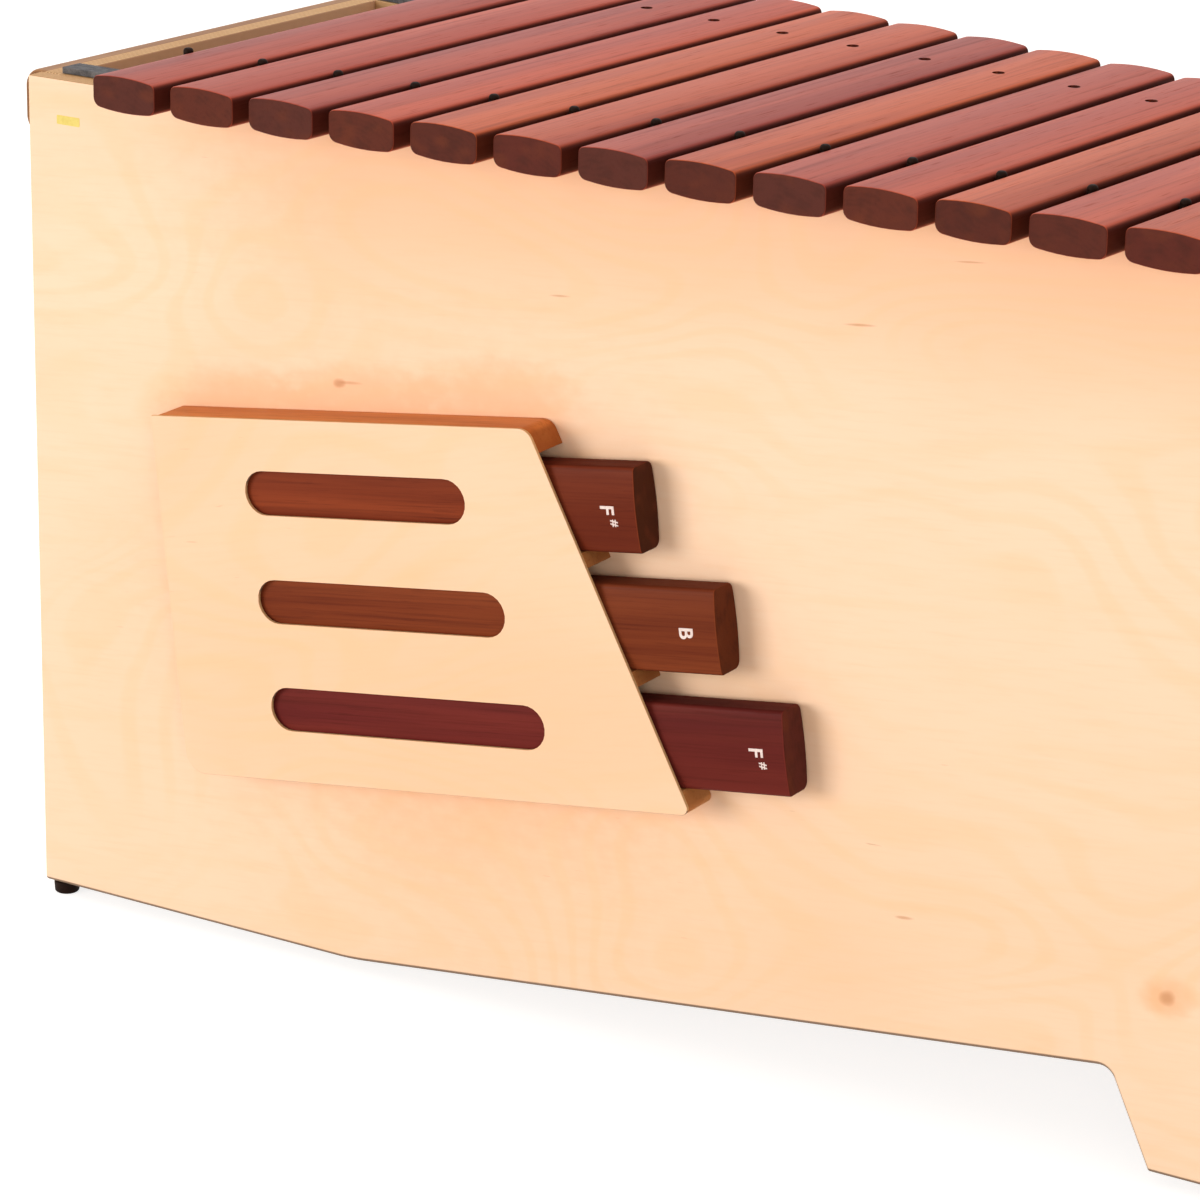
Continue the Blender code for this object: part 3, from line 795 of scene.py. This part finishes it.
barCount = len(barLook["tones"])
for number, tone in enumerate(barLook["tones"], 1):
    node = "tone_bar_%02d" % number
    share = (number - 1) / (barCount - 1)
    low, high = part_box(node)
    nodeLine = barLook["bassNode"] + share * (barLook["trebleNode"] - barLook["bassNode"])
    arch = barLook["bassArch"] + share * (barLook["trebleArch"] - barLook["bassArch"])
    bar = makeBar("toneBar%02d" % number, high - low, nodeLine, arch, barLook)
    middle = Vector(((low.x + high.x) / 2, (low.y + high.y) / 2, low.z))
    settle(bar, Matrix.Translation(middle))
    finish = barFinish("toneBar%02dWood" % number, Matrix.Translation(middle), tone, number * barLook["seedStep"],
                       barLook)
    finishPiece(bar, finish, bodyOf[node], "bar_wood", node)
print("row of bars ready")


# spare bars lie on edge in the holder, playing face out, with printed note letters

spareLook = {
    "bars": (
        # node, name, node line, hollow, tone, grain seed,
        # letter, its distance from the outer end and across from the middle, sharp sign or not
        ("spare_bar_f_sharp_high", "spareBarHigh", 0.112, 0.0085, "storedRust", 13.72, "F", 0.0226, 0.0003, True),
        ("spare_bar_b_flat", "spareBarFlat", 0.131, 0.0100, "storedUmber", 14.48, "B", 0.0238, -0.0010, False),
        ("spare_bar_f_sharp_low", "spareBarLow", 0.143, 0.0110, "storedWine", 14.19, "F", 0.0223, 0.0005, True),
    ),
    "topEase": 0.0028, "footEase": 0.0050,
    "figure": 0.42, "sheen": 0.05, "paintedRimHighlight": 0.5,
    "paintedSideShade": 0.35, "paintedSideShadeFrom": (0.62, 0.95), "outerShade": 0.28, "outerFrom": (0.045, 0.10),
    "letterHeight": 0.0108, "letterWeight": 0.018, "letterRelief": 0.00022,
    "sharpShare": 0.55, "sharpOver": 0.0087, "sharpUp": 0.0046,
}


def printLetter(name, text, height, place):
    # flat letter that reads along X, with its top towards Y
    bpy.ops.object.select_all(action="DESELECT")
    bpy.ops.object.text_add(location=(0, 0, 0))
    letter = bpy.context.object
    letter.name = name
    letter.data.body = text
    letter.data.align_x = "CENTER"
    letter.data.align_y = "CENTER"
    letter.data.size = 1.0
    letter.data.offset = spareLook["letterWeight"]
    letter.data.extrude = spareLook["letterRelief"] / height
    letter.data.resolution_u = 8
    bpy.ops.object.convert(target="MESH")
    letter = bpy.context.object
    openPiece(letter)
    bpy.ops.mesh.remove_doubles(threshold=0.0001)
    closePiece()
    low = Vector([min(v.co[i] for v in letter.data.vertices) for i in range(3)])
    high = Vector([max(v.co[i] for v in letter.data.vertices) for i in range(3)])
    scale = height / (high.y - low.y)
    centre = (low + high) / 2
    settle(letter, place @ Matrix.Diagonal((scale, scale, height, 1)) @ Matrix.Translation(-centre))
    return letter


outward = -panelInward
for node, name, nodeLine, arch, tone, seed, letter, fromEnd, across, sharp in spareLook["bars"]:
    turn = axesOf(-holderUp, drawAxis, outward)
    low, high = localBox(node, turn)
    bar = makeBar(name, high - low, nodeLine, arch, spareLook)
    base = turn @ Vector(((low.x + high.x) / 2, (low.y + high.y) / 2, low.z))
    axes = Matrix.Translation(base) @ turn
    settle(bar, axes)
    finish = barFinish(name + "Wood", axes, tone, seed, spareLook)
    finishPiece(bar, finish, bodyOf[node], "bar_wood", node)
    size = high - low
    signs = [(letter, spareLook["letterHeight"], -across, 0.0)]
    if sharp:
        signs.append(("#", spareLook["letterHeight"] * spareLook["sharpShare"], spareLook["sharpOver"] - across,
                      spareLook["sharpUp"]))
    for sign, height, x, y in signs:
        crown = barLook["crown"] * (x / (size.x / 2)) ** 2
        place = axes @ Matrix.Translation((x, size.y / 2 - fromEnd + y, size.z - crown))
        piece = printLetter(name + ("Sharp" if sign == "#" else "Letter"), sign, height, place)
        finishPiece(piece, printFinish, bodyOf[node], "bar_wood")
print("spare bars ready")


# blank yellow label near the top of the front panel

labelLook = {"along": 0.0355, "height": 0.5987, "width": 0.0205, "tall": 0.0066, "thick": 0.00016, "corner": 0.0009}
bpy.ops.object.select_all(action="DESELECT")
bpy.ops.mesh.primitive_plane_add(size=1, location=(0, 0, 0))
label = bpy.context.object
label.name = "blankLabel"
openPiece(label)
stretch((labelLook["width"], labelLook["tall"], 1))
bpy.ops.mesh.bevel(offset=labelLook["corner"], segments=4, affect="VERTICES")
bpy.ops.mesh.select_all(action="SELECT")
bpy.ops.mesh.extrude_region_move(TRANSFORM_OT_translate={"value": (0, 0, labelLook["thick"])})
bpy.ops.mesh.select_all(action="SELECT")
bpy.ops.mesh.normals_make_consistent(inside=False)
closePiece()
labelMiddle = frontCorner + panelAlong * labelLook["along"] + upward * labelLook["height"]
settle(label, axesOf(panelAlong, upward, outward, labelMiddle))
finishPiece(label, labelFinish, "box", "birch")


# studio: white floor and surround, two soft lights in front and one overhead

studio = {
    "floorSize": 14.0, "floorColour": (0.62, 0.62, 0.62, 1.0), "floorGlow": 0.79,
    "ambient": (1.0, 0.90, 0.80, 1.0), "ambientLevel": 0.57,
    "lamps": (
        # name, place, aim, size, power, colour
        ("keyLight", (-3.5, -7.0, 1.1), (0.1, -0.2, 0.35), 4.0, 385.0, (1.0, 0.95, 0.88)),
        ("fillLight", (4.2, -5.6, 0.9), (0.4, -0.2, 0.25), 3.0, 112.0, (1.0, 0.95, 0.88)),
        ("topLight", (-0.9, 0.9, 3.4), (0.0, 0.0, 0.60), 2.6, 40.0, (1.0, 0.99, 0.98)),
    ),
}


def seenShare(tree):
    # 1 for what the camera sees, also in gloss and through glass
    rays = tree.nodes.new("ShaderNodeLightPath").outputs
    seen, glossy, through = [Wire(tree, rays["Is %s Ray" % kind]) for kind in ("Camera", "Glossy", "Transmission")]
    return seen.maths("MINIMUM", seen + glossy + through, 1.0)


bpy.ops.object.select_all(action="DESELECT")
bpy.ops.mesh.primitive_plane_add(size=studio["floorSize"], location=(0, 0, 0))
floor = bpy.context.object
floor.name = "studioFloor"
floorMaterial, floorPlace = newFinish("studioFloor", Matrix.Identity(4))[:2]
seen = seenShare(floorPlace.tree)
matte = floorPlace.node("ShaderNodeBsdfDiffuse", None, {"Color": studio["floorColour"]})
glow = floorPlace.node("ShaderNodeEmission", None, {"Color": (1, 1, 1, 1), "Strength": studio["floorGlow"]})
both = floorPlace.node("ShaderNodeAddShader", None, {0: matte, 1: glow})
shown = floorPlace.node("ShaderNodeMixShader", None, {0: seen, 1: matte, 2: both})
floorPlace.node("ShaderNodeOutputMaterial", None, {"Surface": shown})
floor.data.materials.append(floorMaterial)

world = bpy.data.worlds.new("studioSurround")
scene.world = world
world.use_nodes = True
world.node_tree.nodes.clear()
seen = seenShare(world.node_tree)
soft = seen.node("ShaderNodeBackground", None, {"Color": studio["ambient"], "Strength": studio["ambientLevel"]})
white = seen.node("ShaderNodeBackground", None, {"Color": (1, 1, 1, 1), "Strength": 1.0})
shown = seen.node("ShaderNodeMixShader", None, {0: seen, 1: soft, 2: white})
seen.node("ShaderNodeOutputWorld", None, {"Surface": shown})

for name, place, aim, size, power, colour in studio["lamps"]:
    bpy.ops.object.light_add(type="AREA", location=place)
    lamp = bpy.context.object
    lamp.name = name
    lamp.data.shape = "SQUARE"
    lamp.data.size = size
    lamp.data.energy = power
    lamp.data.color = colour
    lamp.rotation_euler = (Vector(aim) - Vector(place)).to_track_quat("-Z", "Y").to_euler()
scene.view_settings.view_transform = "Standard"
print("studio lit")


# camera where the photograph was taken

photoView = {
    "frame": 1200, "focal": 4687.0, "sensor": 36.0, "clipEnd": 60.0,
    "turn": 36.07, "rise": 18.43, "roll": 0.99, "place": (1.7443, -2.6218, 1.3362),
}
turn, rise, roll = (math.radians(photoView[key]) for key in ("turn", "rise", "roll"))
ahead = Vector((-math.sin(turn) * math.cos(rise), math.cos(turn) * math.cos(rise), -math.sin(rise)))
right = Vector((math.cos(turn), math.sin(turn), 0))
above = right.cross(ahead)
tiltRight = right * math.cos(roll) + above * math.sin(roll)
tiltUp = above * math.cos(roll) - right * math.sin(roll)
cameraData = bpy.data.cameras.new("photoCamera")
cameraData.sensor_width = photoView["sensor"]
cameraData.lens = photoView["focal"] * photoView["sensor"] / photoView["frame"]
cameraData.clip_end = photoView["clipEnd"]
camera = bpy.data.objects.new("photoCamera", cameraData)
scene.collection.objects.link(camera)
camera.matrix_world = axesOf(tiltRight, tiltUp, -ahead, photoView["place"])
scene.camera = camera
